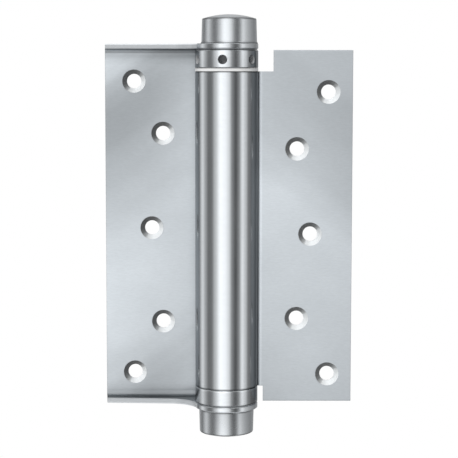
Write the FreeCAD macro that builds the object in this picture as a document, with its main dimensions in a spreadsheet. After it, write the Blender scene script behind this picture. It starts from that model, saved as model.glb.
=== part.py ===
import FreeCAD, Part
import math
import os

import Sketcher

# Single-action spring hinge, lying open flat.
# +Z is up along the pintle's axis, +X points to the door leaf, -Y is the front.
# The origin is on the axis at the frame leaf's mid-height. Sizes are in millimetres and degrees.

doc = FreeCAD.newDocument("spring_hinge")

SIZES = {
    # Both leaves
    "sheet_thickness": 2.5,
    "hinge_height": 175.0,
    "screw_hole_radius": 3.5,
    "countersink_radius": 5.6,
    # Frame leaf
    "frame_leaf_reach": 59.0,
    "plate_clearance": 0.2,
    "plate_edge_gap": 1.0,
    "plate_edge_relief": 0.5,
    "fold_inner_radius": 2.5,
    "flange_edge_setback": 8.6,
    "flange_edge_slope": 3.2,
    "flange_end_taper": 0.6,
    "lug_fillet_radius": 14.0,
    "edge_break": 0.3,
    "frame_hole_inset_outer": 14.0,
    "frame_hole_inset_inner": 28.0,
    "frame_hole_inset_middle": 22.5,
    "frame_outer_row_inset": 16.05,
    "frame_inner_row_inset": 41.3,
    "frame_rows_offset": 1.8,
    # Door leaf and its barrel
    "barrel_radius": 15.0,
    "roll_bend_radius": 2.25,
    "seam_angle": 5.0,
    "door_leaf_reach": 60.0,
    "door_leaf_top_gap": 0.5,
    "door_leaf_bottom_gap": 0.7,
    "top_notch_width": 7.3,
    "bottom_notch_width": 2.6,
    "door_hole_inset_outer": 11.5,
    "door_hole_inset_inner": 26.4,
    "door_hole_inset_middle": 20.0,
    "door_outer_row_inset": 19.6,
    "door_inner_row_inset": 46.65,
    "door_rows_offset": 3.2,
    # Pintle and caps
    "pintle_radius": 4.0,
    "pintle_end_depth": 9.5,
    "running_clearance": 0.05,
    "cap_inset": 1.8,
    "cap_taper": 0.35,
    "cap_side_height": 11.9,
    "cap_dome_radius": 42.0,
    "cap_corner_break": 0.4,
    "cap_foot_width": 0.45,
    "cap_foot_height": 0.7,
    "top_cap_shift": 1.2,
    # Washers, bush and collars
    "washer_thickness": 0.4,
    "washer_inset": 0.4,
    "tension_collar_gap": 0.2,
    "tension_collar_height": 8.35,
    "tension_spigot_side_gap": 2.0,
    "tension_spigot_length": 17.0,
    "tommy_hole_radius": 2.2,
    "tommy_hole_depth": 6.5,
    "tommy_hole_drop": 4.5,
    "tommy_hole_count": 6,
    "tension_collar_turn": -7.6,
    "bush_gap": 0.1,
    "bush_flange_thickness": 1.55,
    "bush_sleeve_length": 6.0,
    "bush_clearance": 0.08,
    "barrel_fit_clearance": 0.02,
    "anchor_collar_gap": 0.1,
    "anchor_collar_height": 7.6,
    "anchor_spigot_length": 9.0,
    # Torsion spring
    "spring_wire": 3.5,
    "spring_side_gap": 0.9,
    "spring_turns": 16,
    "spring_steps_per_turn": 16,
    "spring_end_gap": 0.2,
    "tang_length": 6.0,
    "tang_slot_clearance": 0.15,
}


class Size:
    """A number together with the expression that the document works it out from."""

    def __init__(self, value, text=None):
        self.value = value
        self.text = text if text is not None else repr(value)

    def combined(self, other, sign, value):
        return Size(value, "(%s %s %s)" % (self.text, sign, other.text))

    def __add__(self, other):
        other = as_size(other)
        return self.combined(other, "+", self.value + other.value)

    def __sub__(self, other):
        other = as_size(other)
        return self.combined(other, "-", self.value - other.value)

    def __mul__(self, other):
        other = as_size(other)
        return self.combined(other, "*", self.value * other.value)

    def __truediv__(self, other):
        other = as_size(other)
        return self.combined(other, "/", self.value / other.value)

    def __rsub__(self, other):
        return as_size(other) - self

    def __radd__(self, other):
        return as_size(other) + self

    def __rmul__(self, other):
        return as_size(other) * self

    def __neg__(self):
        return Size(-self.value, "(0 - %s)" % self.text)


def as_size(number):
    return number if isinstance(number, Size) else Size(number)


def root(size):
    return Size(math.sqrt(size.value), "sqrt(%s)" % size.text)


def cosine(degrees):
    return Size(math.cos(math.radians(degrees.value)), "cos(%s * 1 deg)" % degrees.text)


def sine(degrees):
    return Size(math.sin(math.radians(degrees.value)), "sin(%s * 1 deg)" % degrees.text)


def fill_sheet():
    """Writes the sizes to the spreadsheet and returns each as a Size."""
    sheet = doc.addObject("Spreadsheet::Sheet", "Sizes")
    sizes = {}
    for row, (name, value) in enumerate(SIZES.items(), start=1):
        sheet.set("A%d" % row, name)
        sheet.set("B%d" % row, str(value))
        sheet.setAlias("B%d" % row, name)
        sizes[name] = Size(value, "Sizes.%s" % name)
    doc.recompute()
    return sizes


S = fill_sheet()
ZERO = Size(0)

# Heights and radii that several pieces share
LUG_INNER = S["hinge_height"] / 2 - S["sheet_thickness"]
LUG_OUTER = S["hinge_height"] / 2
BARREL_BORE = S["barrel_radius"] - S["sheet_thickness"]
COLLAR_TOP = LUG_INNER - S["washer_thickness"] - S["tension_collar_gap"]
COLLAR_BOTTOM = COLLAR_TOP - S["tension_collar_height"]
BARREL_TOP = COLLAR_BOTTOM - S["bush_gap"] - S["bush_flange_thickness"]
ANCHOR_BOTTOM = S["washer_thickness"] + S["anchor_collar_gap"] - LUG_INNER
BARREL_BOTTOM = ANCHOR_BOTTOM + S["anchor_collar_height"]
PINTLE_BORE = S["pintle_radius"] + S["running_clearance"]
BARREL_FIT = BARREL_BORE - S["barrel_fit_clearance"]
TENSION_SPIGOT = BARREL_BORE - S["tension_spigot_side_gap"]
SPRING_OUTER = BARREL_BORE - S["spring_side_gap"]
SPRING_INNER = SPRING_OUTER - S["spring_wire"]
SPRING_BOTTOM = BARREL_BOTTOM + S["anchor_spigot_length"] + S["spring_end_gap"]
SPRING_TOP = COLLAR_BOTTOM - S["tension_spigot_length"] - S["spring_end_gap"]
SLOT_INNER = SPRING_INNER - S["tang_slot_clearance"]
SLOT_DEPTH = S["tang_length"] + S["tang_slot_clearance"]
LOWER_TURN = S["tension_collar_turn"] + S["spring_turns"] * 360


def vector(x, y, z=0.0):
    return FreeCAD.Vector(x, y, z)


def new_body(label):
    body = doc.addObject("PartDesign::Body", label)
    body.Label = label
    doc.recompute()
    return body


def new_sketch(body, role, name, offset=ZERO):
    """A sketch on one of the body's origin planes, moved along the plane's normal by offset."""
    plane = [f for f in body.Origin.OriginFeatures if f.Role == role][0]
    sketch = body.newObject("Sketcher::SketchObject", name)
    sketch.AttachmentSupport = [(plane, "")]
    sketch.MapMode = "FlatFace"
    if offset is not ZERO:
        sketch.AttachmentOffset = FreeCAD.Placement(vector(0, 0, offset.value), FreeCAD.Rotation())
        sketch.setExpression(".AttachmentOffset.Base.z", offset.text)
    return sketch


def bind(sketch, constraint, size):
    """Adds a constraint whose value follows a size."""
    index = sketch.addConstraint(constraint)
    sketch.setExpression("Constraints[%d]" % index, size.text)


def place(sketch, geometry, point, x, y):
    """Fixes a point of a geometry at x, y from the sketch's origin."""
    if x.value == 0:
        sketch.addConstraint(Sketcher.Constraint("PointOnObject", geometry, point, -2))
    else:
        bind(sketch, Sketcher.Constraint("DistanceX", -1, 1, geometry, point, x.value), x)
    if y.value == 0:
        sketch.addConstraint(Sketcher.Constraint("PointOnObject", geometry, point, -1))
    else:
        bind(sketch, Sketcher.Constraint("DistanceY", -1, 1, geometry, point, y.value), y)


def arc_between(start, end, centre, clockwise):
    """An arc and the numbers of its end points at start and at end."""
    first, last = (end, start) if clockwise else (start, end)
    radius = math.hypot(start[0] - centre[0], start[1] - centre[1])
    angle_first = math.atan2(first[1] - centre[1], first[0] - centre[0])
    angle_last = math.atan2(last[1] - centre[1], last[0] - centre[0])
    circle = Part.Circle(vector(*centre), vector(0, 0, 1), radius)
    arc = Part.ArcOfCircle(circle, angle_first, angle_last)
    return arc, (2, 1) if clockwise else (1, 2)


def outline(sketch, corners, arcs=None):
    """A closed outline through the corners, which are pairs of sizes.

    arcs names the corners after which an arc runs, each with (radius, centre, clockwise).
    """
    arcs = arcs or {}
    ends = []
    count = len(corners)
    for i, corner in enumerate(corners):
        after = corners[(i + 1) % count]
        start = (corner[0].value, corner[1].value)
        end = (after[0].value, after[1].value)
        if i in arcs:
            radius, centre, clockwise = arcs[i]
            arc, points = arc_between(start, end, (centre[0].value, centre[1].value), clockwise)
            number = sketch.addGeometry(arc, False)
        else:
            number = sketch.addGeometry(Part.LineSegment(vector(*start), vector(*end)), False)
            points = (1, 2)
        ends.append((number, points))
    for i, (number, points) in enumerate(ends):
        before, before_points = ends[i - 1]
        joint = Sketcher.Constraint("Coincident", before, before_points[1], number, points[0])
        sketch.addConstraint(joint)
        place(sketch, number, points[0], *corners[i])
    for i, (radius, centre, clockwise) in arcs.items():
        bind(sketch, Sketcher.Constraint("Radius", ends[i][0], radius.value), radius)


def rectangle(sketch, left, bottom, right, top):
    outline(sketch, [(left, bottom), (right, bottom), (right, top), (left, top)])


def circle(sketch, x, y, radius):
    shape = Part.Circle(vector(x.value, y.value), vector(0, 0, 1), radius.value)
    number = sketch.addGeometry(shape, False)
    place(sketch, number, 3, x, y)
    bind(sketch, Sketcher.Constraint("Radius", number, radius.value), radius)


def pad(body, sketch, length, name):
    feature = body.newObject("PartDesign::Pad", name)
    feature.Profile = sketch
    feature.Length = length.value
    feature.setExpression("Length", length.text)
    doc.recompute()
    return feature


def pocket(body, sketch, length, name, along_normal=False):
    """Cuts from the sketch, against its normal or along it, and stops where nothing was cut."""
    before = body.Shape.Volume
    feature = body.newObject("PartDesign::Pocket", name)
    feature.Profile = sketch
    feature.Reversed = along_normal
    feature.Length = length.value
    feature.setExpression("Length", length.text)
    doc.recompute()
    if not feature.Shape.Volume < before:
        raise RuntimeError("%s cuts nothing" % name)
    return feature


def revolve(body, sketch, name):
    feature = body.newObject("PartDesign::Revolution", name)
    feature.Profile = sketch
    feature.ReferenceAxis = (sketch, ["V_Axis"])
    feature.Angle = 360
    doc.recompute()
    return feature


def turned(body, corners, arcs=None, name="turned"):
    """A body of revolution about Z from an outline of (radius, height) corners."""
    sketch = new_sketch(body, "XZ_Plane", name + "_profile")
    outline(sketch, corners, arcs)
    return revolve(body, sketch, name)


def dress(body, kind, base, edges, size, name):
    """A Fillet or a Chamfer on the edges of base for which edges(edge) holds."""
    names = ["Edge%d" % n for n, edge in enumerate(base.Shape.Edges, start=1) if edges(edge)]
    feature = body.newObject("PartDesign::" + kind, name)
    feature.Base = (base, names)
    target = "Radius" if kind == "Fillet" else "Size"
    setattr(feature, target, size.value)
    feature.setExpression(target, size.text)
    doc.recompute()
    return feature


def screw_holes(body, face_setback, middle_height, places):
    """Countersunk through holes from the leaf's front face, at (x, height) places."""
    sketch = new_sketch(body, "XZ_Plane", "screw_hole_centres", -face_setback)
    for x, height in places:
        circle(sketch, x, middle_height + height, S["screw_hole_radius"])
    before = body.Shape.Volume
    doc.recompute()
    feature = body.newObject("PartDesign::Hole", "screw_holes")
    feature.Profile = sketch
    feature.Threaded = False
    feature.DepthType = "ThroughAll"
    feature.HoleCutType = "Countersink"
    feature.HoleCutCustomValues = True
    feature.Diameter = 2 * S["screw_hole_radius"].value
    feature.HoleCutDiameter = 2 * S["countersink_radius"].value
    feature.HoleCutCountersinkAngle = 90
    feature.setExpression("Diameter", (S["screw_hole_radius"] * 2).text)
    feature.setExpression("HoleCutDiameter", (S["countersink_radius"] * 2).text)
    doc.recompute()
    if not feature.Shape.Volume < before:
        raise RuntimeError("the screw holes of %s cut nothing" % body.Label)
    return feature


def leaf_hole_places(side, reach, outer, inner, middle, outer_row, inner_row):
    """Five staggered places: two outer, two inner and the one at mid-height."""
    return [
        (side * (reach - outer), outer_row),
        (side * (reach - outer), -outer_row),
        (side * (reach - inner), inner_row),
        (side * (reach - inner), -inner_row),
        (side * (reach - middle), ZERO),
    ]


def fold_section(sketch, front, back, fold):
    """The folded sheet seen from its end: plate at the back, flanges running forward to front."""
    thickness = S["sheet_thickness"]
    face = back - thickness
    fold_y = face - fold
    fold_z = LUG_INNER - fold
    corners = [
        (front, LUG_INNER),
        (fold_y, LUG_INNER),
        (face, fold_z),
        (face, -fold_z),
        (fold_y, -LUG_INNER),
        (front, -LUG_INNER),
        (front, -LUG_OUTER),
        (fold_y, -LUG_OUTER),
        (back, -fold_z),
        (back, fold_z),
        (fold_y, LUG_OUTER),
        (front, LUG_OUTER),
    ]
    upper = (fold_y, fold_z)
    lower = (fold_y, -fold_z)
    outer_fold = fold + thickness
    arcs = {
        1: (fold, upper, True),
        3: (fold, lower, True),
        7: (outer_fold, lower, False),
        9: (outer_fold, upper, False),
    }
    outline(sketch, corners, arcs)


def lug_plan(sketch, back, relief_y, edge_x):
    """Seen from above, what stays of the folded sheet: plate, flange strip, fillet and round lug."""
    reach = S["frame_leaf_reach"]
    edge_y = S["flange_edge_setback"]
    margin = 4
    beyond = back + margin
    lean = S["flange_end_taper"] / (back - S["sheet_thickness"] - edge_y)
    corner_x = S["flange_end_taper"] - reach
    back_x = corner_x - lean * (beyond - edge_y)
    disc = S["barrel_radius"]
    fillet = S["lug_fillet_radius"]

    # Start values only: the constraints below place the fillet between strip and disc.
    slope = math.tan(math.radians(S["flange_edge_slope"].value))
    centre_y = edge_y.value - fillet.value - slope * 34
    centre_x = -math.sqrt((disc.value + fillet.value) ** 2 - centre_y**2)
    touch = disc.value / (disc.value + fillet.value)
    corner = (corner_x.value, edge_y.value)
    meet_strip = (centre_x, centre_y + fillet.value)
    meet_disc = (centre_x * touch, centre_y * touch)
    meet_relief = (-math.sqrt(disc.value**2 - relief_y.value**2), relief_y.value)

    strip = sketch.addGeometry(Part.LineSegment(vector(*corner), vector(*meet_strip)), False)
    arc, arc_ends = arc_between(meet_strip, meet_disc, (centre_x, centre_y), True)
    bend = sketch.addGeometry(arc, False)
    arc, disc_ends = arc_between(meet_disc, meet_relief, (0, 0), False)
    round_lug = sketch.addGeometry(arc, False)
    points = [
        meet_relief,
        (edge_x.value, relief_y.value),
        (edge_x.value, beyond.value),
        (back_x.value, beyond.value),
        corner,
    ]
    edges = [
        sketch.addGeometry(Part.LineSegment(vector(*a), vector(*b)), False)
        for a, b in zip(points, points[1:])
    ]
    add = sketch.addConstraint
    add(Sketcher.Constraint("Tangent", strip, 2, bend, arc_ends[0]))
    add(Sketcher.Constraint("Tangent", bend, arc_ends[1], round_lug, disc_ends[0]))
    add(Sketcher.Constraint("Coincident", round_lug, disc_ends[1], edges[0], 1))
    for a, b in zip(edges, edges[1:]):
        add(Sketcher.Constraint("Coincident", a, 2, b, 1))
    add(Sketcher.Constraint("Coincident", edges[3], 2, strip, 1))
    add(Sketcher.Constraint("Coincident", round_lug, 3, -1, 1))
    bind(sketch, Sketcher.Constraint("Radius", bend, fillet.value), fillet)
    bind(sketch, Sketcher.Constraint("Radius", round_lug, disc.value), disc)
    tilt = -S["flange_edge_slope"]
    angle = Sketcher.Constraint("Angle", -1, 1, strip, 1, math.radians(tilt.value))
    index = add(angle)
    sketch.setExpression("Constraints[%d]" % index, "%s * 1 deg" % tilt.text)
    place(sketch, strip, 1, corner_x, edge_y)
    relief = Sketcher.Constraint("DistanceY", -1, 1, edges[0], 1, relief_y.value)
    bind(sketch, relief, relief_y)
    place(sketch, edges[1], 1, edge_x, relief_y)
    place(sketch, edges[2], 1, edge_x, beyond)
    place(sketch, edges[3], 1, back_x, beyond)
    return margin


def frame_leaf():
    body = new_body("frame_leaf")
    back = S["barrel_radius"] + S["plate_clearance"] + S["sheet_thickness"]
    fold = S["fold_inner_radius"]
    fold_y = back - S["sheet_thickness"] - fold
    front = -S["barrel_radius"] - 1
    disc = S["barrel_radius"]
    relief_y = fold_y - S["plate_edge_relief"]
    edge_x = -root(disc * disc - relief_y * relief_y) - S["plate_edge_gap"]
    joint_x = edge_x + S["plate_edge_gap"] / 2
    section = new_sketch(body, "YZ_Plane", "folded_section", -S["frame_leaf_reach"])
    fold_section(section, front, back, fold)
    pad(body, section, S["frame_leaf_reach"] + joint_x, "folded_sheet")
    for name, height in (("upper_lug", LUG_INNER), ("lower_lug", -LUG_OUTER)):
        flat = new_sketch(body, "XY_Plane", name + "_blank", height)
        rectangle(flat, joint_x, front, S["barrel_radius"] + 1, back)
        pad(body, flat, S["sheet_thickness"], name)

    plan = new_sketch(body, "XY_Plane", "lug_plan", LUG_OUTER + 1)
    margin = lug_plan(plan, back, relief_y, edge_x)
    far = S["frame_leaf_reach"] + 2 * margin
    near = S["barrel_radius"] + 2 * margin
    rectangle(plan, -far, -near, near, back + 2 * margin)
    trimmed = pocket(body, plan, 2 * (LUG_OUTER + 1), "trim_to_plan")

    def rim(edge):
        """The lug's and the strip's front rims, above and below each flange."""
        box = edge.BoundBox
        level = box.ZLength < 1e-4 and abs(box.ZMin) > LUG_INNER.value - 1e-4
        return level and box.YMin < relief_y.value - 1e-3 and box.XLength > 1

    dress(body, "Chamfer", trimmed, rim, S["edge_break"], "rim_edge_break")
    places = leaf_hole_places(
        -1,
        S["frame_leaf_reach"],
        S["frame_hole_inset_outer"],
        S["frame_hole_inset_inner"],
        S["frame_hole_inset_middle"],
        S["hinge_height"] / 2 - S["frame_outer_row_inset"],
        S["hinge_height"] / 2 - S["frame_inner_row_inset"],
    )
    screw_holes(body, back - S["sheet_thickness"], -S["frame_rows_offset"], places)

    bore = new_sketch(body, "XY_Plane", "pintle_bore_circle", LUG_OUTER + 1)
    circle(bore, ZERO, ZERO, PINTLE_BORE)
    pocket(body, bore, 2 * (LUG_OUTER + 1), "pintle_bores")
    return body


def roll_outline(sketch):
    """Seen from above, the sheet of the door leaf with its edge rolled round to the barrel."""
    half = S["sheet_thickness"] / 2
    outer = S["barrel_radius"]
    inner = BARREL_BORE
    bend = S["roll_bend_radius"]
    centre_y = bend + half
    reach = outer + bend
    centre_x = root(reach * reach - centre_y * centre_y)
    centre = (centre_x, centre_y)
    axis = (ZERO, ZERO)
    along = cosine(S["seam_angle"])
    below = -sine(S["seam_angle"])
    corners = [
        (S["door_leaf_reach"], -half),
        (S["door_leaf_reach"], half),
        (centre_x, half),
        (centre_x * outer / reach, centre_y * outer / reach),
        (outer * along, outer * below),
        (inner * along, inner * below),
        (centre_x * inner / reach, centre_y * inner / reach),
        (centre_x, -half),
    ]
    arcs = {
        2: (bend, centre, True),
        3: (outer, axis, False),
        5: (inner, axis, True),
        6: (bend + S["sheet_thickness"], centre, False),
    }
    outline(sketch, corners, arcs)


def door_leaf():
    body = new_body("door_leaf")
    half = S["sheet_thickness"] / 2
    top = LUG_INNER - S["door_leaf_top_gap"]
    bottom = S["door_leaf_bottom_gap"] - LUG_INNER
    roll = new_sketch(body, "XY_Plane", "rolled_outline", bottom)
    roll_outline(roll)
    pad(body, roll, top - bottom, "rolled_sheet")

    front = S["barrel_radius"] + 5
    notches = new_sketch(body, "XZ_Plane", "notch_outlines", front)
    top_x = S["barrel_radius"] + S["top_notch_width"]
    bottom_x = S["barrel_radius"] + S["bottom_notch_width"]
    rectangle(notches, -front, BARREL_TOP, top_x, top + 5)
    rectangle(notches, -front, bottom - 5, bottom_x, BARREL_BOTTOM)
    notched = pocket(body, notches, 2 * front, "notches")

    def barrel_rim(edge):
        """The outer rims of the barrel's two ends."""
        box = edge.BoundBox
        return box.ZLength < 1e-4 and abs(box.XMin + S["barrel_radius"].value) < 1e-3

    dress(body, "Chamfer", notched, barrel_rim, S["edge_break"], "barrel_edge_break")
    places = leaf_hole_places(
        1,
        S["door_leaf_reach"],
        S["door_hole_inset_outer"],
        S["door_hole_inset_inner"],
        S["door_hole_inset_middle"],
        S["hinge_height"] / 2 - S["door_outer_row_inset"],
        S["hinge_height"] / 2 - S["door_inner_row_inset"],
    )
    screw_holes(body, -half, -S["door_rows_offset"], places)
    return body


def pintle():
    body = new_body("pintle")
    radius = S["pintle_radius"]
    end = LUG_OUTER + S["pintle_end_depth"]
    lead = S["edge_break"]
    corners = [
        (ZERO, -end),
        (radius - lead, -end),
        (radius, lead - end),
        (radius, end - lead),
        (radius - lead, end),
        (ZERO, end),
    ]
    turned(body, corners, name="rod")
    return body


def cap(label, shift, upright):
    """A domed cap with a blind bore that is pressed on the pintle's end."""
    body = new_body(label)
    radius = S["barrel_radius"] - S["cap_inset"]
    foot = radius + S["cap_foot_width"]
    foot_height = S["cap_foot_height"]
    shoulder = radius - S["cap_taper"]
    side = S["cap_side_height"]
    dome = S["cap_dome_radius"]
    corner = S["cap_corner_break"]
    rim = shoulder - corner
    sunk = root(dome * dome - rim * rim)
    crown = side + dome - sunk
    corners = [
        (ZERO, ZERO),
        (foot, ZERO),
        (radius, foot_height),
        (shoulder, side - corner),
        (rim, side),
        (ZERO, crown),
    ]
    arcs = {4: (dome, (ZERO, side - sunk), False)}
    turned(body, corners, arcs, "domed_form")
    bore = new_sketch(body, "XY_Plane", "bore_circle")
    circle(bore, -shift, ZERO, S["pintle_radius"])
    pocket(body, bore, S["pintle_end_depth"] + 0.2, "blind_bore", along_normal=True)
    height = LUG_OUTER if upright else -LUG_OUTER
    turn = FreeCAD.Rotation(vector(1, 0, 0), 0 if upright else 180)
    body.Placement = FreeCAD.Placement(vector(shift.value, 0, height.value), turn)
    body.setExpression(".Placement.Base.x", shift.text)
    body.setExpression(".Placement.Base.z", height.text)
    return body


def washer(label, bottom):
    body = new_body(label)
    inner = PINTLE_BORE
    outer = S["barrel_radius"] - S["washer_inset"]
    top = bottom + S["washer_thickness"]
    corners = [(inner, bottom), (outer, bottom), (outer, top), (inner, top)]
    turned(body, corners, name="disc")
    return body


def tang_slot(body, top, toward, name):
    """The slot beside local +X that a spring tang stands in, cut down from top."""
    clearance = S["tang_slot_clearance"]
    wire = S["spring_wire"]
    sketch = new_sketch(body, "XY_Plane", name + "_outline", top)
    outer = S["barrel_radius"]
    if toward > 0:
        rectangle(sketch, SLOT_INNER, -clearance, outer, wire + clearance)
    else:
        rectangle(sketch, SLOT_INNER, -wire - clearance, outer, clearance)
    return sketch


def turn_about_axis(body, angle):
    body.Placement = FreeCAD.Placement(vector(0, 0, 0), FreeCAD.Rotation(vector(0, 0, 1), angle.value))
    body.setExpression(".Placement.Rotation.Angle", "%s * 1 deg" % angle.text)


def tension_collar():
    """The ring that winds the spring, turned by a tommy bar in its radial holes."""
    body = new_body("tension_collar")
    radius = S["barrel_radius"]
    lead = S["edge_break"]
    spigot = TENSION_SPIGOT
    foot = COLLAR_BOTTOM - S["tension_spigot_length"]
    corners = [
        (PINTLE_BORE, foot),
        (spigot - lead, foot),
        (spigot, foot + lead),
        (spigot, COLLAR_BOTTOM),
        (radius - lead, COLLAR_BOTTOM),
        (radius, COLLAR_BOTTOM + lead),
        (radius, COLLAR_TOP - lead),
        (radius - lead, COLLAR_TOP),
        (PINTLE_BORE, COLLAR_TOP),
    ]
    turned(body, corners, name="ring_and_spigot")

    hole = new_sketch(body, "XZ_Plane", "tommy_hole_circle", radius + 1)
    circle(hole, ZERO, COLLAR_TOP - S["tommy_hole_drop"], S["tommy_hole_radius"])
    drilled = pocket(body, hole, S["tommy_hole_depth"] + 1, "tommy_hole")
    pattern = body.newObject("PartDesign::PolarPattern", "tommy_holes")
    pattern.Originals = [drilled]
    upright = [f for f in body.Origin.OriginFeatures if f.Role == "Z_Axis"][0]
    pattern.Axis = (upright, [""])
    pattern.Angle = 360
    pattern.Occurrences = S["tommy_hole_count"].value
    pattern.setExpression("Occurrences", S["tommy_hole_count"].text)
    body.Tip = pattern
    doc.recompute()

    slot = tang_slot(body, foot, -1, "tang_slot")
    pocket(body, slot, SLOT_DEPTH, "tang_slot", along_normal=True)
    turn_about_axis(body, S["tension_collar_turn"])
    return body


def barrel_bush():
    """The flanged bush that carries the tension collar in the barrel's upper end."""
    body = new_body("barrel_bush")
    inner = TENSION_SPIGOT + S["bush_clearance"]
    flange_top = BARREL_TOP + S["bush_flange_thickness"]
    foot = BARREL_TOP - S["bush_sleeve_length"]
    corners = [
        (inner, foot),
        (BARREL_FIT, foot),
        (BARREL_FIT, BARREL_TOP),
        (S["barrel_radius"], BARREL_TOP),
        (S["barrel_radius"], flange_top),
        (inner, flange_top),
    ]
    turned(body, corners, name="flanged_sleeve")
    return body


def anchor_collar():
    """The ring pressed in the barrel's lower end, which takes the spring's fixed tang."""
    body = new_body("anchor_collar")
    radius = S["barrel_radius"]
    lead = S["edge_break"]
    head = BARREL_BOTTOM + S["anchor_spigot_length"]
    corners = [
        (PINTLE_BORE, ANCHOR_BOTTOM),
        (radius - lead, ANCHOR_BOTTOM),
        (radius, ANCHOR_BOTTOM + lead),
        (radius, BARREL_BOTTOM - lead),
        (radius - lead, BARREL_BOTTOM),
        (BARREL_FIT, BARREL_BOTTOM),
        (BARREL_FIT, head - lead),
        (BARREL_FIT - lead, head),
        (PINTLE_BORE, head),
    ]
    turned(body, corners, name="ring_and_spigot")
    slot = tang_slot(body, head, 1, "tang_slot")
    pocket(body, slot, SLOT_DEPTH, "tang_slot")
    turn_about_axis(body, LOWER_TURN)
    return body


def coil_corners(turns_up, steps):
    """The wire's four corners at a step, on a left-handed helix that starts and ends at local +X."""
    angle = -2 * math.pi * turns_up / steps
    wire = S["spring_wire"].value
    rise = SPRING_TOP.value - SPRING_BOTTOM.value - wire
    low = SPRING_BOTTOM.value + rise * turns_up / steps / S["spring_turns"].value
    inner = SPRING_INNER.value
    outer = SPRING_OUTER.value
    return [
        vector(radius * math.cos(angle), radius * math.sin(angle), height)
        for radius, height in (
            (inner, low),
            (outer, low),
            (outer, low + wire),
            (inner, low + wire),
        )
    ]


def torsion_spring():
    """Square wire wound left-handed, so that opening the door winds it tighter.

    Each turn is made of flat facets, because a smooth helix meshes ten times finer than it shows.
    """
    steps = S["spring_steps_per_turn"].value
    sections = [coil_corners(i, steps) for i in range(S["spring_turns"].value * steps + 1)]
    faces = []
    for lower, upper in zip(sections, sections[1:]):
        for side in range(4):
            after = (side + 1) % 4
            a, b, c, d = lower[side], lower[after], upper[after], upper[side]
            faces.append(Part.Face(Part.makePolygon([a, b, c, a])))
            faces.append(Part.Face(Part.makePolygon([a, c, d, a])))
    for end in (sections[0], sections[-1]):
        faces.append(Part.Face(Part.makePolygon(end + [end[0]])))
    shell = Part.makeShell(faces)
    shell.sewShape()
    coil = Part.Solid(shell)
    if coil.Volume < 0:
        coil.reverse()

    wire = S["spring_wire"].value
    tang = S["tang_length"].value
    tall = tang + wire
    lower_tang = Part.makeBox(
        wire, wire, tall, vector(SPRING_INNER.value, 0, SPRING_BOTTOM.value - tang)
    )
    upper_tang = Part.makeBox(
        wire, wire, tall, vector(SPRING_INNER.value, -wire, SPRING_TOP.value - wire)
    )
    spring = doc.addObject("Part::Feature", "torsion_spring")
    spring.Label = "torsion_spring"
    spring.Shape = coil.fuse([lower_tang, upper_tang])
    turn_about_axis(spring, LOWER_TURN)
    return spring


def check(body):
    """Stops the build on any object or shape that is not sound."""
    for feature in getattr(body, "Group", [body]):
        if "Invalid" in feature.State or "Error" in feature.State:
            raise RuntimeError("%s of %s is not valid" % (feature.Name, body.Label))
    shape = body.Shape
    if shape.isNull() or not shape.isValid() or len(shape.Solids) != 1:
        raise RuntimeError("%s is not one valid solid" % body.Label)


def main():
    bodies = [
        frame_leaf(),
        door_leaf(),
        pintle(),
        cap("top_cap", S["top_cap_shift"], True),
        cap("bottom_cap", ZERO, False),
        washer("upper_washer", COLLAR_TOP + S["tension_collar_gap"]),
        washer("lower_washer", -LUG_INNER),
        tension_collar(),
        barrel_bush(),
        anchor_collar(),
        torsion_spring(),
    ]
    doc.recompute()
    os.makedirs("parts", exist_ok=True)
    for body in bodies:
        check(body)
        body.Shape.exportStep("parts/%s.step" % body.Label)


main()
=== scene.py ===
import math

import bmesh
import bpy
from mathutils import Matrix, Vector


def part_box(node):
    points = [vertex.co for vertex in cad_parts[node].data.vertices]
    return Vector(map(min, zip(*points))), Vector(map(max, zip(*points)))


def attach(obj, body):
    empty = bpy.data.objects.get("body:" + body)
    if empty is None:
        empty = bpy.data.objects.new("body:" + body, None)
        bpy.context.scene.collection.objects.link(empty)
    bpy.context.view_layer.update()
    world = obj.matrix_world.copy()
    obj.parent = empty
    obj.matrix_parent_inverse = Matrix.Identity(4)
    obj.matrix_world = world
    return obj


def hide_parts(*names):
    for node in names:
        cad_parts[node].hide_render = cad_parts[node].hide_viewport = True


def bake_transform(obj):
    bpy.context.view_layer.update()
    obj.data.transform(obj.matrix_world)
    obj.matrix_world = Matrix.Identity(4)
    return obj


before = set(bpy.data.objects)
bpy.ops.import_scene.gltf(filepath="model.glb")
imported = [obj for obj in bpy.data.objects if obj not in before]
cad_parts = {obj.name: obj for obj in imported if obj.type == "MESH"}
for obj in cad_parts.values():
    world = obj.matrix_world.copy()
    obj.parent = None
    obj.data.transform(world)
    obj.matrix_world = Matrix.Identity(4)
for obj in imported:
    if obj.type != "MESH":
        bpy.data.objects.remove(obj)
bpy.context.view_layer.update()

MM = 0.001
WHITE = (1, 1, 1, 1)

# The photograph's camera: lengths in metres, angles in degrees, the focal length in pixels
PICTURE_WIDTH = 458
FOCAL_PIXELS = 1585
SENSOR_WIDTH = 36.0
CAMERA_X = 1.1 * MM
CAMERA_DISTANCE = 757 * MM
CAMERA_HEIGHT = 74.2 * MM
CAMERA_PITCH_DOWN = 5.665
CAMERA_ROLL = -0.05
NEAREST_SEEN = 0.01
FARTHEST_SEEN = 50

# Degrees from the camera's side, right positive, and the light that comes from there
AZIMUTH_LIGHT = [
    (-180, 0.85), (-150, 0.70), (-132, 0.15), (-116, 0.40), (-99, 0.85), (-84, 0.42),
    (-70, 0.16), (-56, 0.18), (-42, 0.60), (-22, 1.30), (-6, 1.18), (8, 0.88),
    (20, 0.25), (34, 0.08), (46, 0.25), (60, 0.97), (76, 0.58), (92, 0.42),
    (112, 0.32), (130, 0.28), (155, 0.62), (180, 0.85),
]
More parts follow.
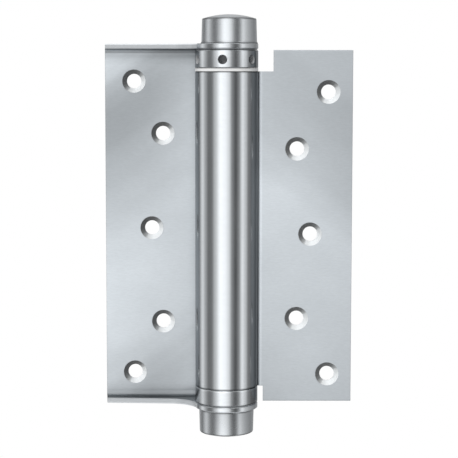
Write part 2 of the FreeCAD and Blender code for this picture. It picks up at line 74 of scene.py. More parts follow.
# Degrees above the horizon, and how much of that light comes at that height
HEIGHT_LIGHT = [(-90, 0.35), (-45, 0.50), (-18, 1.0), (-6, 1.0), (4, 0.97), (35, 1.1), (90, 1.5)]
WORLD_STRENGTH = 1.0
# The kinds of rays that see plain white behind and below the hinge
STRAIGHT_RAYS = ("Is Camera Ray", "Is Transmission Ray")

# The lamp's angles are in degrees
LAMP_STRENGTH = 1.5
LAMP_WIDTH = 40
LAMP_TILT = 58
LAMP_TURN = -28

FLOOR_WIDTH = 1.0
FLOOR_BACK = 0.2
FLOOR_HEIGHT = -0.8
FLOOR_GREY = (0.8, 0.8, 0.8, 1)

# Colours of the steel: flat sheet, turned or cut faces, the backs and the pieces inside
PALE = (0.775, 0.827, 0.870)
TURNED = (0.80, 0.835, 0.865)
BACK_PALE = (0.64, 0.685, 0.72)
# The washers' grey is darkened: painted shade for the gaps between the lugs and the collars
WASHER_SHADE_GREY = (0.50, 0.52, 0.54)
PINTLE_GREY = (0.62, 0.64, 0.66)
SPRING_GREY = (0.22, 0.225, 0.235)
# The levels of a noise between which a colour goes from its dark to its light shade
NOISE_LOW, NOISE_HIGH = 0.3, 0.7
# The holes' walls are darkened: painted shade deep in the recesses
BORE_SHADE_GREYS = [(NOISE_LOW, (0.36, 0.37, 0.38)), (NOISE_HIGH, (0.46, 0.47, 0.48))]
NYLON_WHITES = [(NOISE_LOW, (0.94, 0.95, 0.955)), (NOISE_HIGH, (0.985, 0.99, 0.99))]

# How fast the grain lines change along X, Y and Z
SHEET_GRAIN = (500, 500, 2500)
TURNED_GRAIN = (300, 300, 7000)
CUT_GRAIN = (900, 900, 4000)
WASHER_GRAIN = (900, 900, 900)
PINTLE_GRAIN = (300, 300, 9000)
WIRE_GRAIN = (700, 700, 2500)
GRAIN_HEIGHT = 0.02 * MM
LINE_DETAIL = 5.0
LINE_DARKENING = 0.93
CLOUD_SCALE = 45.0
CLOUD_DETAIL = 3.0
CLOUD_ROUGHENING = 0.12
EDGE_RADIUS = 0.35 * MM
EDGE_SAMPLES = 6

NYLON_CLOUD_SCALE = 400.0
NYLON_RELIEF = 0.1
NYLON_ROUGHNESS = 0.45
BORE_GRAIN_SCALE = 2500.0
BORE_ROUGHNESS = 0.7
COUNTERSINK_GRAIN_SCALE = 1500.0
COUNTERSINK_GRAIN_DEPTH = 0.15
COUNTERSINK_ROUGHNESS = 0.45
COUNTERSINK_METAL = 0.15
# The direction that the countersinks' painted light comes from, and their painted grey by
# how far they face it
UPPER_LEFT = (-0.61, -0.51, 0.61)
COUNTERSINK_GREYS = [(0.0, 0.13), (0.2, 0.20), (0.4, 0.42), (0.6, 0.84), (1.0, 0.97)]
STEEL_TINT = (0.955, 0.985, 1.0)

BARREL_RADIUS = 15 * MM
LEAF_HALF_WIDTH = 19 * MM
FRAME_LEAF_MIDDLE = -37 * MM
DOOR_LEAF_MIDDLE = 39 * MM
# How many metres lower the bands of shade lie for each metre to the right
FRAME_SLANT = -0.7
DOOR_SLANT = 0.8
# The height that the tables of grey levels span, about the hinge's middle
TONE_SPAN = 0.2

# Grey level by height in millimetres: the soft light and shade that lies over each leaf
FRAME_BANDS = {
    "whole": [
        (-98, 0.57), (-84, 0.545), (-79, 0.56), (-71, 0.63), (-60, 0.75), (-45, 0.85),
        (-22, 0.88), (0, 0.83), (20, 0.72), (38, 0.64), (45, 0.60), (53, 0.54),
        (60, 0.52), (67, 0.52), (74, 0.555), (80, 0.62), (87, 0.80), (96, 0.93),
    ],
    "left": [
        (-84, 0.09), (-79, 0.02), (-66, 0.0), (-50, 0.035), (-37, 0.055), (-25, 0.075),
        (-13, 0.06), (0, 0.02), (12, 0.0), (60, -0.03), (74, 0.0),
    ],
    "right": [
        (-84, 0.12), (-71, 0.125), (-62, 0.10), (-50, 0.025), (-37, -0.01), (-25, -0.065),
        (-13, -0.08), (0, -0.055), (11, -0.025), (23, 0.0), (35, 0.065), (53, 0.105),
        (60, 0.14), (67, 0.165), (74.5, 0.15), (79, 0.10), (82, 0.0),
    ],
    "ends": [
        (-86.4, 1.0), (-85.2, 0.35), (-84.6, 0.45), (-84.1, 0.55), (-83.2, 0.72), (-82.2, 0.82),
        (-81.2, 0.89), (-80.2, 0.94), (-78.5, 1.0), (77.0, 1.0), (79.3, 0.91), (82.0, 0.72),
        (83.2, 0.74), (84.2, 0.72), (85.2, 0.42), (86.4, 0.90),
    ],
}
DOOR_BANDS = {
    "whole": [
        (-98, 0.74), (-84, 0.78), (-60, 0.84), (-38, 0.86), (-16, 0.90), (6, 0.945),
        (16, 0.89), (30, 0.79), (43, 0.74), (58, 0.70), (72, 0.69), (81, 0.73),
    ],
    "left": [
        (-80, -0.05), (-64, -0.02), (-42, -0.015), (-18, 0.0), (6, 0.03), (16, 0.02),
        (31, -0.055), (43, -0.025), (57, 0.01), (81, 0.03),
    ],
    "right": [
        (-80, -0.06), (-54, -0.04), (-30, -0.03), (6, -0.06), (16, -0.05), (30, -0.03),
        (50, -0.04), (81, 0.01),
    ],
    "ends": [(-84.2, 0.85), (-83.8, 1.0), (84.0, 1.0), (84.4, 1.1)],
}
# Thin lines by height in millimetres: dark joints, painted shade in gaps and grooves, and painted
# highlights
BARREL_LINES = [
    (-76.9, 0.35), (-76.5, 0.40), (-76.3, 1.15), (-75.8, 1.0),
    (73.4, 1.0), (73.8, 1.15), (74.0, 0.45), (74.4, 0.40),
]
TENSION_LINES = [(76.0, 0.45), (76.35, 0.5), (76.6, 1.12), (77.0, 1.0), (84.0, 1.1), (84.3, 0.85)]
ANCHOR_LINES = [
    (-84.5, 0.65), (-84.2, 1.1), (-83.5, 1.0), (-77.6, 1.0), (-77.3, 1.25), (-76.95, 1.2),
]
# Painted shade along the nylon ring's two edges
NYLON_EDGE_SHADE = [(74.4, 0.45), (74.7, 0.6), (74.8, 1.0), (75.65, 1.0), (75.75, 0.55), (76.0, 0.5)]
CAP_LINES = [
    (87.5, 0.30), (87.8, 0.95), (88.2, 1.05), (88.45, 0.50), (88.7, 1.0),
    (98.45, 1.0), (98.8, 0.42), (99.3, 0.32), (99.5, 1.0), (101.3, 1.1),
]
# Painted shade lines and painted highlights on the flanges' cut fronts, and on the lugs' rims round
# the barrel
FLANGE_LINES = [
    (84.95, 0.40), (85.15, 0.50), (85.3, 1.15), (85.75, 1.15),
    (85.95, 0.62), (86.75, 0.60), (86.95, 1.15), (87.5, 1.15),
]
LUG_LINES = [
    (85.03, 0.9), (85.1, 0.80), (85.3, 0.92), (85.45, 1.15), (86.0, 1.0),
    (86.75, 1.0), (86.95, 0.55), (87.15, 0.60), (87.3, 1.15), (87.5, 1.0),
]
# Shade towards the flat leaf, by share of the barrel's radius
CORNER_SHADE = [(0.60, 1.0), (0.70, 0.50), (0.80, 0.36), (0.89, 0.38), (0.95, 0.7), (1.0, 0.9)]

# Where one kind of face ends and the next begins on the CAD nodes, in millimetres
FOLD_HEIGHT = 84.95
FOLD_BACK = 12.5
LUG_LEFT = -14
HOLES_HEIGHT = 80
FRAME_HOLES = (-58, -10)
DOOR_HOLES = (25, 59)
DOOR_SHEET_LEFT = 15.2
DOOR_SHEET_BACK = 1.6
TOMMY_HOLES_LOW = 76.1
COLLAR_SKIN_RADIUS = 14.2
# How a face lies, by its normal's share along the axis that the name gives
LEVEL_Z = 0.95
COLLAR_LEVEL_Z = 0.9
SIDE_X = 0.9
BACK_Y = 0.3
FRONT_Y = -0.3
CONE_Y = (-0.9, -0.5)
WALL_Y = 0.2

CAP_RADIUS = 13.2 * MM
CAP_SHOULDER = 12.92 * MM
CAP_SIDE = 11.9 * MM
CAP_CORNER = 0.7 * MM
# What the cap's foot and neck stand out, and the heights where they end
CAP_FOOT = 0.4 * MM
CAP_FOOT_TOP = 0.25 * MM
CAP_NECK = 0.1 * MM
CAP_NECK_FOOT = 0.7 * MM
CAP_NECK_TOP = 1.0 * MM
CAP_STEPS_ROUND = 96
CAP_CORNER_STEPS = 6
CAP_DOME_STEPS = 12

SPRING_SIZES = {
    "Wire": 3.48 * MM,
    "Wire corner": 0.7 * MM,
    "Outer radius": 11.58 * MM,
    "Tang": 6.0 * MM,
    "Turns": 16,
    "Steps per turn": 40,
    "Start angle": math.radians(-7.6),
}
WIRE_CORNER_STEPS = 2


def add_object(name, data):
    """A new object in the scene."""
    thing = bpy.data.objects.new(name, data)
    bpy.context.scene.collection.objects.link(thing)
    return thing


def make_camera():
    """At the photograph's place: level with the upper third, looking slightly down."""
    data = bpy.data.cameras.new("camera")
    data.sensor_width = SENSOR_WIDTH
    data.lens = FOCAL_PIXELS / PICTURE_WIDTH * SENSOR_WIDTH
    data.clip_start = NEAREST_SEEN
    data.clip_end = FARTHEST_SEEN
    camera = add_object("camera", data)
    camera.location = (CAMERA_X, -CAMERA_DISTANCE, CAMERA_HEIGHT)
    camera.rotation_euler = (math.radians(90 - CAMERA_PITCH_DOWN), math.radians(CAMERA_ROLL), 0)
    bpy.context.scene.camera = camera


class Nodes:
    """A small hand for building node trees: adds nodes and joins sockets."""

    def __init__(self, tree):
        self.tree = tree
        tree.nodes.clear()

    def add(self, kind, **settings):
        node = self.tree.nodes.new(kind)
        for key, value in settings.items():
            setattr(node, key, value)
        return node

    def join(self, source, target):
        self.tree.links.new(source, target)

    def value_into(self, socket, value):
        """Links a socket, or sets a plain number or colour."""
        if isinstance(value, bpy.types.NodeSocket):
            self.join(value, socket)
        else:
            socket.default_value = value

    def math(self, operation, a, b=0.0):
        node = self.add("ShaderNodeMath", operation=operation)
        self.value_into(node.inputs[0], a)
        self.value_into(node.inputs[1], b)
        return node.outputs[0]

    def ramp(self, factor, stops, interpolation="EASE"):
        """A colour ramp through (position, colour or grey level) stops."""
        node = self.add("ShaderNodeValToRGB")
        band = node.color_ramp
        band.interpolation = interpolation
        while len(band.elements) > 1:
            band.elements.remove(band.elements[-1])
        for i, (position, level) in enumerate(stops):
            element = band.elements[0] if i == 0 else band.elements.new(position)
            element.position = position
            colour = level if isinstance(level, tuple) else (level, level, level)
            element.color = (*colour, 1)
        self.join(factor, node.inputs[0])
        return node.outputs[0]

    def multiplied(self, colour, other):
        """Two colours multiplied."""
        node = self.add("ShaderNodeMix", data_type="RGBA", blend_type="MULTIPLY")
        node.inputs["Factor"].default_value = 1.0
        self.join(colour, node.inputs[6])
        self.join(other, node.inputs[7])
        return node.outputs[2]

    def axes(self, vector):
        """A vector's X, Y and Z."""
        node = self.add("ShaderNodeSeparateXYZ")
        self.join(vector, node.inputs[0])
        return node.outputs

    def place(self):
        """The place on the object, in the object's own coordinates."""
        return self.add("ShaderNodeTexCoord").outputs["Object"]

    def noise(self, place, scale, detail=2.0):
        node = self.add("ShaderNodeTexNoise")
        node.inputs["Scale"].default_value = scale
        node.inputs["Detail"].default_value = detail
        self.join(place, node.inputs["Vector"])
        return node.outputs["Fac"]

    def relief(self, height, strength):
        """A bump node for fine grain."""
        node = self.add("ShaderNodeBump")
        node.inputs["Strength"].default_value = strength
        node.inputs["Distance"].default_value = GRAIN_HEIGHT
        self.join(height, node.inputs["Height"])
        return node

    def white_for(self, rays, white, other):
        """The white shader for the named kinds of rays, and the other one for the rest."""
        path = self.add("ShaderNodeLightPath").outputs
        seen = path[rays[0]]
        for ray in rays[1:]:
            seen = self.math("MAXIMUM", seen, path[ray])
        mix = self.add("ShaderNodeMixShader")
        self.join(seen, mix.inputs[0])
        self.join(other, mix.inputs[1])
        self.join(white, mix.inputs[2])
        return mix.outputs[0]

    def finish(self, shader, output="ShaderNodeOutputMaterial"):
        self.join(shader, self.add(output).inputs[0])


def make_world():
    """Soft boxes and dark gaps round the object, by azimuth and by height."""
    world = bpy.data.worlds.new("studio")
    bpy.context.scene.world = world
    world.use_nodes = True
    n = Nodes(world.node_tree)
    x, y, z = n.axes(n.add("ShaderNodeTexCoord").outputs["Generated"])
    azimuth = n.math("ARCTAN2", x, n.math("MULTIPLY", y, -1.0))
    turn = n.math("ADD", n.math("DIVIDE", azimuth, 2 * math.pi), 0.5)
    around = n.ramp(turn, [(0.5 + degrees / 360, level) for degrees, level in AZIMUTH_LIGHT])
    height = n.math("ADD", n.math("MULTIPLY", n.math("ARCSINE", z), 1 / math.pi), 0.5)
    up = n.ramp(height, [(0.5 + degrees / 180, level) for degrees, level in HEIGHT_LIGHT])
    lit = n.add("ShaderNodeBackground")
    n.join(n.multiplied(around, up), lit.inputs["Color"])
    lit.inputs["Strength"].default_value = WORLD_STRENGTH
    white = n.add("ShaderNodeBackground")
    white.inputs["Color"].default_value = WHITE
    white.inputs["Strength"].default_value = 1.0
    shader = n.white_for(STRAIGHT_RAYS, white.outputs[0], lit.outputs[0])
    n.finish(shader, "ShaderNodeOutputWorld")


def make_lamp():
    """A broad soft lamp from the upper left, which the steel doesn't mirror."""
    data = bpy.data.lights.new("soft_lamp", "SUN")
    data.energy = LAMP_STRENGTH
    data.angle = math.radians(LAMP_WIDTH)
    lamp = add_object("soft_lamp", data)
    lamp.rotation_euler = (math.radians(LAMP_TILT), 0, math.radians(LAMP_TURN))
    lamp.visible_glossy = False


def new_material(name):
    """A material, and the hand that builds its nodes."""
    material = bpy.data.materials.new(name)
    material.use_nodes = True
    return material, Nodes(material.node_tree)


def make_floor():
    """A plain pale floor well below the object, white where it is seen or mirrored."""
    bpy.ops.mesh.primitive_plane_add(size=FLOOR_WIDTH, location=(0, FLOOR_BACK, FLOOR_HEIGHT))
    floor = bpy.context.active_object
    floor.name = "floor"
    material, n = new_material("pale_floor")
    pale = n.add("ShaderNodeBsdfDiffuse")
    pale.inputs["Color"].default_value = FLOOR_GREY
    white = n.add("ShaderNodeEmission")
    white.inputs["Strength"].default_value = 1.0
    rays = (*STRAIGHT_RAYS, "Is Glossy Ray")
    n.finish(n.white_for(rays, white.outputs[0], pale.outputs[0]))
    floor.data.materials.append(material)


def steel(name, colour, roughness, grain, grain_depth, edge=1.0, tone=None, metal=1.0):
    """Satin steel with fine grain lines.

    grain is how fast the lines change along X, Y and Z, edge how much is reflected at a grazing
    angle, tone a function that adds a grey factor of painted light and shade to the tree, and
    metal how far the surface mirrors as bare metal does.
    """
    material, n = new_material(name)
    place = n.place()
    lines_place = n.add("ShaderNodeMapping")
    lines_place.inputs["Scale"].default_value = grain
    n.join(place, lines_place.inputs["Vector"])
    lines = n.noise(lines_place.outputs[0], 1.0, LINE_DETAIL)
    cloud = n.noise(place, CLOUD_SCALE, CLOUD_DETAIL)

    shader = n.add("ShaderNodeBsdfPrincipled")
    shader.inputs["Metallic"].default_value = metal
    shader.inputs["Specular Tint"].default_value = (edge, edge, edge, 1)
    worn = tuple(level * LINE_DARKENING for level in colour)
    base = n.ramp(lines, [(NOISE_LOW, worn), (NOISE_HIGH, colour)], "LINEAR")
    if tone:
        base = n.multiplied(base, tone(n, place))
    n.join(base, shader.inputs["Base Color"])
    spread = n.math("MULTIPLY", n.math("SUBTRACT", cloud, 0.5), CLOUD_ROUGHENING)
    n.join(n.math("ADD", spread, roughness), shader.inputs["Roughness"])
    soft_edges = n.add("ShaderNodeBevel", samples=EDGE_SAMPLES)
    soft_edges.inputs["Radius"].default_value = EDGE_RADIUS
    relief = n.relief(lines, grain_depth)
    n.join(soft_edges.outputs[0], relief.inputs["Normal"])
    n.join(relief.outputs[0], shader.inputs["Normal"])
    n.finish(shader.outputs[0])
    return material


def by_height(n, height, stops, interpolation="EASE"):
    """A ramp through (millimetres, level) stops, for a height in metres."""
    share = n.math("ADD", n.math("DIVIDE", height, TONE_SPAN), 0.5)
    spread = [(0.5 + mm * MM / TONE_SPAN, level) for mm, level in stops]
    return n.ramp(share, spread, interpolation)


def leaf_tone(middle_x, bands, slant):
    """The broad light and shade on a leaf, as soft bands by height.

    bands gives the whole leaf's band, which falls towards the right at slant, what its left and
    right sides have more than that, and the painted shade and highlights along its folded or cut
    ends.
    """

    def tone(n, place):
        x, _, z = n.axes(place)
        off_middle = n.math("SUBTRACT", x, middle_x)
        slanted = n.math("ADD", z, n.math("MULTIPLY", off_middle, slant))
        level = by_height(n, slanted, bands["whole"])
        for side, sign in (("left", -1), ("right", 1)):
            share = n.math("DIVIDE", off_middle, sign * LEAF_HALF_WIDTH)
            share = n.math("MAXIMUM", share, 0.0)
            lifted = [(mm, more + 0.5) for mm, more in bands[side]]
            more = n.math("SUBTRACT", by_height(n, z, lifted), 0.5)
            level = n.math("ADD", level, n.math("MULTIPLY", more, share))
        return n.math("MULTIPLY", level, by_height(n, z, bands["ends"]))

    return tone


def height_tone(stops, from_middle=False, corner=()):
    """Thin lines round a turned piece, by height: dark joints, painted shade in gaps and grooves,
    and painted highlights.

    from_middle counts the height both ways from the hinge's middle. corner is the shade towards
    the flat leaf, by share of the barrel's radius.
    """

    def tone(n, place):
        x, _, z = n.axes(place)
        height = n.math("ABSOLUTE", z) if from_middle else z
        lines = by_height(n, height, stops, "LINEAR")
        if not corner:
            return lines
        return n.math("MULTIPLY", lines, n.ramp(n.math("DIVIDE", x, BARREL_RADIUS), corner))

    return tone


def nylon():
    """White moulded nylon, with painted shade along its two edges where it meets the barrel and the
    collar.
    """
    material, n = new_material("white_nylon")
    place = n.place()
    cloud = n.noise(place, NYLON_CLOUD_SCALE)
    shader = n.add("ShaderNodeBsdfPrincipled")
    edges = height_tone(NYLON_EDGE_SHADE)(n, place)
    n.join(n.multiplied(n.ramp(cloud, NYLON_WHITES), edges), shader.inputs["Base Color"])
    shader.inputs["Roughness"].default_value = NYLON_ROUGHNESS
    n.join(n.relief(cloud, NYLON_RELIEF).outputs[0], shader.inputs["Normal"])
    n.finish(shader.outputs[0])
    return material


def countersink_steel():
    """Cut steel in the screw holes' cones, with painted shade on the side turned from the upper
    left and painted light on the side facing it.
    """
    material, n = new_material("countersink_steel")
    grain = n.noise(n.place(), COUNTERSINK_GRAIN_SCALE)
    facing = n.add("ShaderNodeVectorMath", operation="DOT_PRODUCT")
    n.join(n.add("ShaderNodeNewGeometry").outputs["Normal"], facing.inputs[0])
    facing.inputs[1].default_value = UPPER_LEFT
    rough = n.math("MULTIPLY", n.math("SUBTRACT", grain, 0.5), COUNTERSINK_GRAIN_DEPTH)
    turned_to = n.math("ADD", facing.outputs["Value"], rough)
    greys = [(at, tuple(level * tint for tint in STEEL_TINT)) for at, level in COUNTERSINK_GREYS]
    shader = n.add("ShaderNodeBsdfPrincipled")
    shader.inputs["Metallic"].default_value = COUNTERSINK_METAL
    shader.inputs["Roughness"].default_value = COUNTERSINK_ROUGHNESS
    n.join(n.ramp(turned_to, greys), shader.inputs["Base Color"])
    n.finish(shader.outputs[0])
    return material


def bore_shade_steel():
    """Grey steel in the drilled holes, darkened as painted shade for their depth."""
    material, n = new_material("bore_shade_steel")
    grain = n.noise(n.place(), BORE_GRAIN_SCALE)
    shader = n.add("ShaderNodeBsdfPrincipled")
    n.join(n.ramp(grain, BORE_SHADE_GREYS), shader.inputs["Base Color"])
    shader.inputs["Roughness"].default_value = BORE_ROUGHNESS
    n.finish(shader.outputs[0])
    return material


def lathe(name, profile, steps, centre_x, flip):
    """A closed mesh of revolution from (radius, height) points that start and end on its axis."""
    rings = profile[1:-1]
    points = [(centre_x, 0.0, flip * profile[0][1]), (centre_x, 0.0, flip * profile[-1][1])]
    first = len(points)
    for radius, height in rings:
        for i in range(steps):
            angle = 2 * math.pi * i / steps
            x = centre_x + radius * math.cos(angle)
            points.append((x, radius * math.sin(angle), flip * height))
    faces = []
    last = first + (len(rings) - 1) * steps
    for i in range(steps):
        j = (i + 1) % steps
        faces.append((0, first + j, first + i))
        faces.append((1, last + i, last + j))
        for k in range(len(rings) - 1):
            low, high = first + k * steps, first + (k + 1) * steps
            faces.append((low + i, low + j, high + j, high + i))
    if flip < 0:
        faces = [tuple(reversed(face)) for face in faces]
    mesh = bpy.data.meshes.new(name)
    mesh.from_pydata(points, [], faces)
    mesh.shade_smooth()
    return add_object(name, mesh)


def cap_profile(low, high):
    """A tapered side on a small foot, a rounded corner and a dome, between two heights."""
    dome_rise = high - low - CAP_SIDE
    turn_in = CAP_SHOULDER - CAP_CORNER
    dome = (turn_in**2 + dome_rise**2) / (2 * dome_rise)
    points = [(0.0, low), (CAP_RADIUS + CAP_FOOT, low)]
    points += [(CAP_RADIUS + CAP_FOOT, low + CAP_FOOT_TOP)]
    points += [(CAP_RADIUS + CAP_NECK, low + CAP_NECK_FOOT), (CAP_RADIUS, low + CAP_NECK_TOP)]
    for i in range(CAP_CORNER_STEPS + 1):
        angle = math.radians(90 * i / CAP_CORNER_STEPS)
        radius = turn_in + CAP_CORNER * math.cos(angle)
        points.append((radius, low + CAP_SIDE - CAP_CORNER + CAP_CORNER * math.sin(angle)))
    for i in range(1, CAP_DOME_STEPS):
        radius = turn_in * (1 - i / CAP_DOME_STEPS)
        points.append((radius, high - dome + math.sqrt(dome**2 - radius**2)))
    return points + [(0.0, high)]


def make_caps(material):
    """Finer caps with rounded corners, each in its modelled cap's place."""
    for node, flip in (("top_cap", 1), ("bottom_cap", -1)):
        low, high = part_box(node)
        profile = cap_profile(*sorted((abs(low[2]), abs(high[2]))))
        piece = lathe("fine_" + node, profile, CAP_STEPS_ROUND, (low[0] + high[0]) / 2, flip)
        piece.data.materials.append(material)
        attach(piece, "frame")
        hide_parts(node)


def spring_tree(sizes, material):
    """Square wire on a left-handed helix, with a straight tang at each end."""
    tree = bpy.data.node_groups.new("square_wire_spring", "GeometryNodeTree")
    face = tree.interface
    face.new_socket("Geometry", in_out="OUTPUT", socket_type="NodeSocketGeometry")
    for name, value in sizes.items():
        kind = "NodeSocketInt" if isinstance(value, int) else "NodeSocketFloat"
        face.new_socket(name, in_out="INPUT", socket_type=kind).default_value = value
    n = Nodes(tree)
    given = n.add("NodeGroupInput").outputs
    half = n.math("MULTIPLY", given["Wire"], 0.5)
    middle = n.math("SUBTRACT", given["Outer radius"], half)
    low = n.math("ADD", given["Bottom"], half)

    def vector(x, y, z):
        node = n.add("ShaderNodeCombineXYZ")
        for socket, value in zip(node.inputs, (x, y, z)):
            n.value_into(socket, value)
        return node.outputs[0]

    # The helix
    points = n.add("GeometryNodeResampleCurve")
    n.join(n.add("GeometryNodeCurvePrimitiveLine").outputs[0], points.inputs["Curve"])
    count = n.math("ADD", n.math("MULTIPLY", given["Turns"], given["Steps per turn"]), 1.0)
    n.join(count, points.inputs["Count"])
    along = n.add("GeometryNodeSplineParameter").outputs["Factor"]
    turned = n.math("MULTIPLY", n.math("MULTIPLY", along, given["Turns"]), -2 * math.pi)
    angle = n.math("ADD", turned, given["Start angle"])
    rise = n.math("SUBTRACT", n.math("SUBTRACT", given["Top"], given["Bottom"]), given["Wire"])
    x = n.math("MULTIPLY", middle, n.math("COSINE", angle))
    y = n.math("MULTIPLY", middle, n.math("SINE", angle))
    z = n.math("ADD", low, n.math("MULTIPLY", along, rise))
    helix = n.add("GeometryNodeSetPosition")
    n.join(points.outputs[0], helix.inputs["Geometry"])
    n.join(vector(x, y, z), helix.inputs["Position"])
    upright = n.add("GeometryNodeSetCurveNormal")
    upright.mode = "Z_UP"
    n.join(helix.outputs[0], upright.inputs[0])

    # The wire's square section with rounded corners
    section = n.add("GeometryNodeCurvePrimitiveQuadrilateral")
    n.join(given["Wire"], section.inputs["Width"])
    n.join(given["Wire"], section.inputs["Height"])
    corners = n.add("GeometryNodeFilletCurve")
    corners.mode = "POLY"
    corners.inputs["Count"].default_value = WIRE_CORNER_STEPS
    n.join(section.outputs[0], corners.inputs["Curve"])
    n.join(given["Wire corner"], corners.inputs["Radius"])
    wire = n.add("GeometryNodeCurveToMesh")
    wire.inputs["Fill Caps"].default_value = True
    n.join(upright.outputs[0], wire.inputs["Curve"])
    n.join(corners.outputs[0], wire.inputs["Profile Curve"])

    # The two tangs
    together = n.add("GeometryNodeJoinGeometry")
    n.join(wire.outputs[0], together.inputs[0])
    tall = n.math("ADD", given["Tang"], given["Wire"])
    half_tall = n.math("MULTIPLY", tall, 0.5)
    tang_low = n.math("SUBTRACT", n.math("ADD", low, half), half_tall)
    tang_high = n.math("ADD", n.math("SUBTRACT", given["Top"], given["Wire"]), half_tall)
    for side, height in ((half, tang_low), (n.math("MULTIPLY", half, -1.0), tang_high)):
        tang = n.add("GeometryNodeMeshCube")
        n.join(vector(given["Wire"], given["Wire"], tall), tang.inputs["Size"])
        move = n.add("GeometryNodeTransform")
        n.join(tang.outputs[0], move.inputs["Geometry"])
        n.join(vector(middle, side, height), move.inputs["Translation"])
        swing = n.add("GeometryNodeTransform")
        n.join(move.outputs[0], swing.inputs["Geometry"])
        n.join(vector(0.0, 0.0, given["Start angle"]), swing.inputs["Rotation"])
        n.join(swing.outputs[0], together.inputs[0])

    real = n.add("GeometryNodeRealizeInstances")
    n.join(together.outputs[0], real.inputs[0])
    coat = n.add("GeometryNodeSetMaterial")
    coat.inputs["Material"].default_value = material
    n.join(real.outputs[0], coat.inputs["Geometry"])
    n.finish(coat.outputs[0], "NodeGroupOutput")
    return tree


def turn_out(mesh):
    """Makes every face of a mesh point outwards."""
    shape = bmesh.new()
    shape.from_mesh(mesh)
    bmesh.ops.recalc_face_normals(shape, faces=shape.faces)
    shape.to_mesh(mesh)
    shape.free()


def make_spring(material):
    """A smooth coil in place of the modelled one with its flat facets.
    """
    low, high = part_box("torsion_spring")
    bottom, top = low[2] + SPRING_SIZES["Tang"], high[2] - SPRING_SIZES["Tang"]
    sizes = {**SPRING_SIZES, "Bottom": bottom, "Top": top}
    tree = spring_tree(sizes, material)
    holder = add_object("spring_holder", bpy.data.meshes.new("spring_holder"))
    modifier = holder.modifiers.new("coil", "NODES")
    modifier.node_group = tree
    for item in tree.interface.items_tree:
        if item.in_out == "INPUT":
            modifier[item.identifier] = sizes[item.name]
    shown = holder.evaluated_get(bpy.context.evaluated_depsgraph_get())
    mesh = bpy.data.meshes.new_from_object(shown)
    bpy.data.objects.remove(holder)
    mesh.name = "coil_spring"
    turn_out(mesh)
    spring = add_object("coil_spring", mesh)
    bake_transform(spring)
    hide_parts("torsion_spring")


def dress(name, *materials):
    """Gives a CAD node its materials, and returns its mesh."""
    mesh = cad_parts[name].data
    mesh.materials.clear()
    for material in materials:
        mesh.materials.append(material)
    return mesh


def dress_by_face(name, kind_of_face, materials):
    """Gives each face of a CAD node the material of its kind."""
    kinds = list(materials)
    mesh = dress(name, *materials.values())
    for face in mesh.polygons:
        x, y, z = (value / MM for value in face.center)
        face.material_index = kinds.index(kind_of_face(x, y, z, face.normal))


def is_cone(normal):
    """Whether a face slopes as the countersinks' cones do."""
    return CONE_Y[0] < normal.y < CONE_Y[1]


def is_wall(normal):
    """Whether a face runs straight through the sheet, as the holes' walls do."""
    return abs(normal.y) < WALL_Y


def frame_leaf_face(x, y, z, normal):
    on_fold = abs(z) > FOLD_HEIGHT
    by_holes = abs(z) < HOLES_HEIGHT and FRAME_HOLES[0] < x < FRAME_HOLES[1]
    if on_fold and x > LUG_LEFT:
        return "lug"
    if on_fold and y < FOLD_BACK and abs(normal.z) < LEVEL_Z:
        return "cut edge"
    if by_holes and is_cone(normal):
        return "countersink"
    if by_holes and is_wall(normal):
        return "hole"
    return "back" if normal.y > BACK_Y or abs(normal.x) > SIDE_X else "front"


def door_leaf_face(x, y, z, normal):
    by_holes = abs(z) < HOLES_HEIGHT and DOOR_HOLES[0] < x < DOOR_HOLES[1]
    if by_holes and is_cone(normal):
        return "countersink"
    if by_holes and is_wall(normal):
        return "hole"
    if x > DOOR_SHEET_LEFT and abs(y) < DOOR_SHEET_BACK:
        return "back" if normal.y > FRONT_Y else "front"
    return "barrel"


def tension_collar_face(x, y, z, normal):
    under_skin = z > TOMMY_HOLES_LOW and math.hypot(x, y) < COLLAR_SKIN_RADIUS
    return "hole" if under_skin and abs(normal.z) < COLLAR_LEVEL_Z else "skin"


def dress_frame_leaf(cone_steel, hole_steel):
    """The sheet's front and back, its cut edges and lugs, the countersinks and the holes' walls."""
    front = steel(
        "frame_front_steel",
        PALE,
        roughness=0.32,
        grain=SHEET_GRAIN,
        grain_depth=0.06,
        tone=leaf_tone(FRAME_LEAF_MIDDLE, FRAME_BANDS, FRAME_SLANT),
    )
    cut_edge = steel(
        "flange_edge_steel",
        TURNED,
        roughness=0.30,
        grain=CUT_GRAIN,
        grain_depth=0.15,
        edge=0.6,
        tone=height_tone(FLANGE_LINES, from_middle=True),
        metal=0.15,
    )
    lug = steel(
        "lug_steel",
        TURNED,
        roughness=0.20,
        grain=TURNED_GRAIN,
        grain_depth=0.2,
        edge=0.5,
        tone=height_tone(LUG_LINES, from_middle=True),
    )
    back = steel(
        "frame_back_steel", BACK_PALE, roughness=0.34, grain=SHEET_GRAIN, grain_depth=0.08
    )
    materials = {
        "front": front,
        "cut edge": cut_edge,
        "countersink": cone_steel,
        "hole": hole_steel,
        "back": back,
        "lug": lug,
    }
    dress_by_face("frame_leaf", frame_leaf_face, materials)


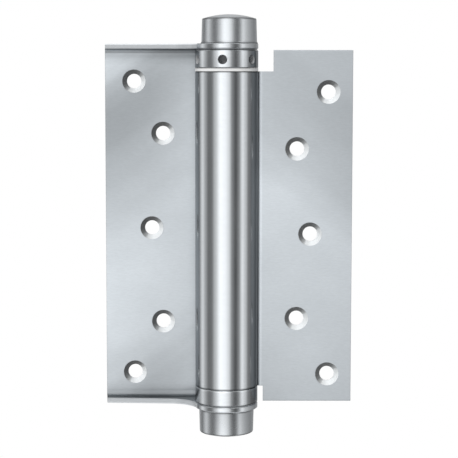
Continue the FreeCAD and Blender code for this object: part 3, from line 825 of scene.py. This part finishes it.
def dress_door_leaf(cone_steel, hole_steel):
    """The barrel's turned skin, the flat sheet, the countersinks and the holes' straight walls."""
    front = steel(
        "door_front_steel",
        PALE,
        roughness=0.32,
        grain=SHEET_GRAIN,
        grain_depth=0.06,
        tone=leaf_tone(DOOR_LEAF_MIDDLE, DOOR_BANDS, DOOR_SLANT),
    )
    back = steel("door_back_steel", BACK_PALE, roughness=0.34, grain=SHEET_GRAIN, grain_depth=0.08)
    materials = {
        "barrel": turned_steel("barrel_steel", 0.17, BARREL_LINES),
        "front": front,
        "countersink": cone_steel,
        "hole": hole_steel,
        "back": back,
    }
    dress_by_face("door_leaf", door_leaf_face, materials)


def turned_steel(name, roughness, lines):
    """The skin of the barrel and the two collars, shaded towards the flat leaf."""
    return steel(
        name,
        TURNED,
        roughness,
        grain=TURNED_GRAIN,
        grain_depth=0.25,
        edge=0.35,
        tone=height_tone(lines, corner=CORNER_SHADE),
    )


def dress_collars(hole_steel):
    """The tension collar with its tommy holes, and the plain anchor collar."""
    skin = turned_steel("tension_collar_steel", 0.19, TENSION_LINES)
    dress_by_face("tension_collar", tension_collar_face, {"skin": skin, "hole": hole_steel})
    dress("anchor_collar", turned_steel("anchor_collar_steel", 0.22, ANCHOR_LINES))


make_camera()
make_world()
make_lamp()
make_floor()

cone_steel = countersink_steel()
# The holes' walls get painted shade
hole_steel = bore_shade_steel()
cap_steel = steel(
    "cap_steel",
    TURNED,
    roughness=0.27,
    grain=TURNED_GRAIN,
    grain_depth=0.25,
    edge=0.5,
    tone=height_tone(CAP_LINES, from_middle=True),
)
# Dark washers: painted shade in the gaps between the lugs and the collars
washer_steel = steel(
    "washer_steel", WASHER_SHADE_GREY, roughness=0.4, grain=WASHER_GRAIN, grain_depth=0.2, edge=0.5
)
pintle_steel = steel(
    "pintle_steel", PINTLE_GREY, roughness=0.22, grain=PINTLE_GRAIN, grain_depth=0.2
)
spring_steel = steel(
    "spring_steel", SPRING_GREY, roughness=0.34, grain=WIRE_GRAIN, grain_depth=0.3
)

dress_frame_leaf(cone_steel, hole_steel)
dress_door_leaf(cone_steel, hole_steel)
dress_collars(hole_steel)
dress("barrel_bush", nylon())
dress("pintle", pintle_steel)
dress("torsion_spring", spring_steel)
for node in ("upper_washer", "lower_washer"):
    dress(node, washer_steel)
for node in ("top_cap", "bottom_cap"):
    dress(node, cap_steel)
make_caps(cap_steel)
make_spring(spring_steel)

bpy.context.scene.view_settings.view_transform = "Standard"
